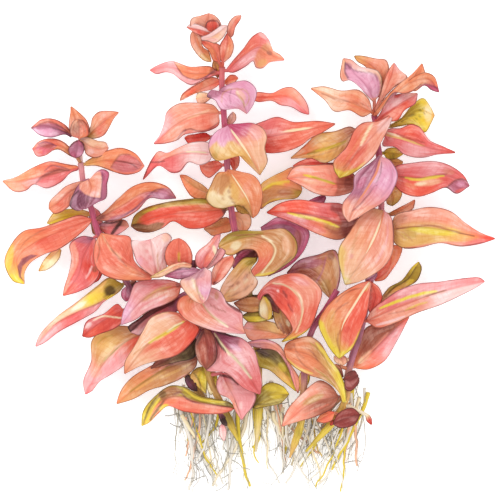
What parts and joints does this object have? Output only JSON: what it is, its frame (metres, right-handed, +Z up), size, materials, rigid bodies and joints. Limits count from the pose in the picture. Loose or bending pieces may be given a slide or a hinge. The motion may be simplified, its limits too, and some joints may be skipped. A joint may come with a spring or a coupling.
{
  "type": "rotala stem plant",
  "caption": "Picked water plant with red and coral leaves on jointed magenta stems and a tangle of fine cream roots, lying flat",
  "frame": {"origin": "On the surface that the plant lies on, under the middle of its overall box", "axes": "+Z up from the surface, +Y the way the shoots point, from the roots to the leafy tips, +X to the right of that seen from above"},
  "size_m": [0.1687, 0.165, 0.04],
  "materials": {
    "coral_leaf": "coral orange leaf, soft sheen",
    "rose_leaf": "rose red leaf, soft sheen",
    "peach_leaf": "pale peach leaf, soft sheen",
    "olive_leaf": "olive to gold leaf, soft sheen",
    "mauve_leaf": "mauve leaf, soft sheen",
    "stem_skin": "smooth magenta stem, yellow towards its foot",
    "root_fibre": "fine cream root fibres, matt"
  },
  "bodies": {
    "root": {"centre_leaf_1": "coral_leaf", "centre_leaf_10": "olive_leaf", "centre_leaf_2": "rose_leaf", "centre_leaf_3": "mauve_leaf", "centre_leaf_4": "coral_leaf", "centre_leaf_5": "peach_leaf", "centre_leaf_6": "mauve_leaf", "centre_leaf_7": "peach_leaf", "centre_leaf_8": "rose_leaf", "centre_leaf_9": "rose_leaf", "centre_small_leaves": "olive_leaf", "centre_stem": "stem_skin", "centre_tip": "coral_leaf", "front_leaf_1": "coral_leaf", "front_leaf_10": "coral_leaf", "front_leaf_2": "rose_leaf", "front_leaf_3": "rose_leaf", "front_leaf_4": "coral_leaf", "front_leaf_5": "peach_leaf", "front_leaf_6": "olive_leaf", "front_leaf_7": "peach_leaf", "front_leaf_8": "rose_leaf", "front_leaf_9": "rose_leaf", "front_small_leaves": "mauve_leaf", "front_stem": "stem_skin", "front_tip": "rose_leaf", "inner_leaf_1": "rose_leaf", "inner_leaf_2": "mauve_leaf", "inner_leaf_3": "coral_leaf", "inner_small_leaves": "olive_leaf", "inner_stem": "stem_skin", "left_leaf_1": "coral_leaf", "left_leaf_2": "coral_leaf", "left_leaf_3": "coral_leaf", "left_leaf_4": "peach_leaf", "left_leaf_5": "coral_leaf", "left_leaf_6": "coral_leaf", "left_leaf_7": "rose_leaf", "left_roots": "root_fibre", "left_small_leaves": "olive_leaf", "left_stem": "stem_skin", "left_tip": "coral_leaf", "low_leaf_1": "peach_leaf", "low_leaf_2": "peach_leaf", "low_small_leaves": "mauve_leaf", "right_leaf_1": "rose_leaf", "right_leaf_10": "rose_leaf", "right_leaf_11": "peach_leaf", "right_leaf_2": "coral_leaf", "right_leaf_3": "peach_leaf", "right_leaf_4": "coral_leaf", "right_leaf_5": "mauve_leaf", "right_leaf_6": "rose_leaf", "right_leaf_7": "rose_leaf", "right_leaf_8": "peach_leaf", "right_leaf_9": "peach_leaf", "right_roots": "root_fibre", "right_small_leaves": "olive_leaf", "right_stem": "stem_skin", "right_tip": "coral_leaf"}
  },
  "joints": []
}
